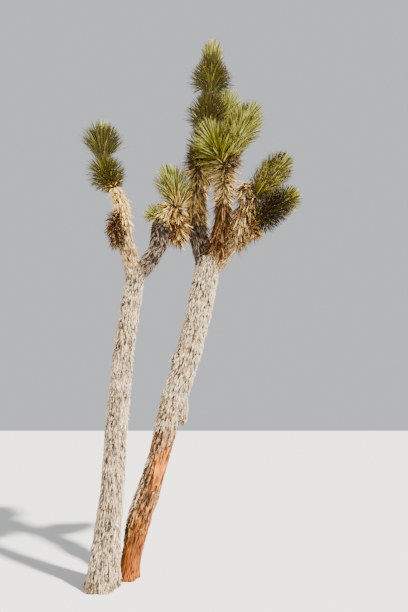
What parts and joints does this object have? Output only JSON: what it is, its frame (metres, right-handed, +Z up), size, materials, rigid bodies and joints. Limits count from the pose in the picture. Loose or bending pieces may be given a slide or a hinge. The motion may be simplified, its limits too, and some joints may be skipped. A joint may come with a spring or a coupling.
{
  "type": "joshua tree",
  "caption": "Desert tree of two bark-covered stems from one root, forking into thatched arms that end in rosettes of stiff dagger leaves.",
  "frame": {"origin": "middle of the flat cut at ground level under the main, leaning stem", "axes": "+Z straight up, +X to the right and +Y away from the viewer in the picture; the main stem leans towards +X"},
  "size_m": [3.0515, 1.46, 7.3254],
  "materials": {
    "bark": "matt grey-tan bark in upright flakes",
    "bare_wood": "matt orange-brown wood where the bark has fallen off",
    "thatch": "matt dry straw leaves, darker where they are shaded",
    "green_leaves": "satin olive green, stiff leaves",
    "young_leaves": "satin pale cream green, young leaves"
  },
  "bodies": {
    "root": {"trunk_main": "bark", "trunk_second": "bark", "stub_main": "bark", "bough_outer": "bark", "bough_inner": "bark", "bough_spire": "bark", "bough_front": "bark", "bough_right": "bark", "bough_back": "bark", "thatch_outer": "thatch", "tuft_outer_dead": "thatch", "thatch_inner": "thatch", "tuft_inner_hanging": "thatch", "thatch_spire": "thatch", "thatch_front_low": "thatch", "thatch_front_high": "thatch", "thatch_right": "thatch", "tuft_right_dead": "thatch", "thatch_back": "thatch", "rosette_outer_low": "green_leaves", "rosette_outer_top": "green_leaves", "rosette_inner_up": "green_leaves", "rosette_inner_side": "green_leaves", "rosette_spire_low": "green_leaves", "rosette_spire_middle": "green_leaves", "rosette_spire_high": "green_leaves", "rosette_spire_top": "young_leaves", "rosette_front_left": "green_leaves", "rosette_front_right": "green_leaves", "rosette_right_up": "green_leaves", "rosette_right_low": "green_leaves", "rosette_right_out": "green_leaves", "rosette_back_low": "green_leaves", "rosette_back_top": "green_leaves"}
  },
  "joints": []
}
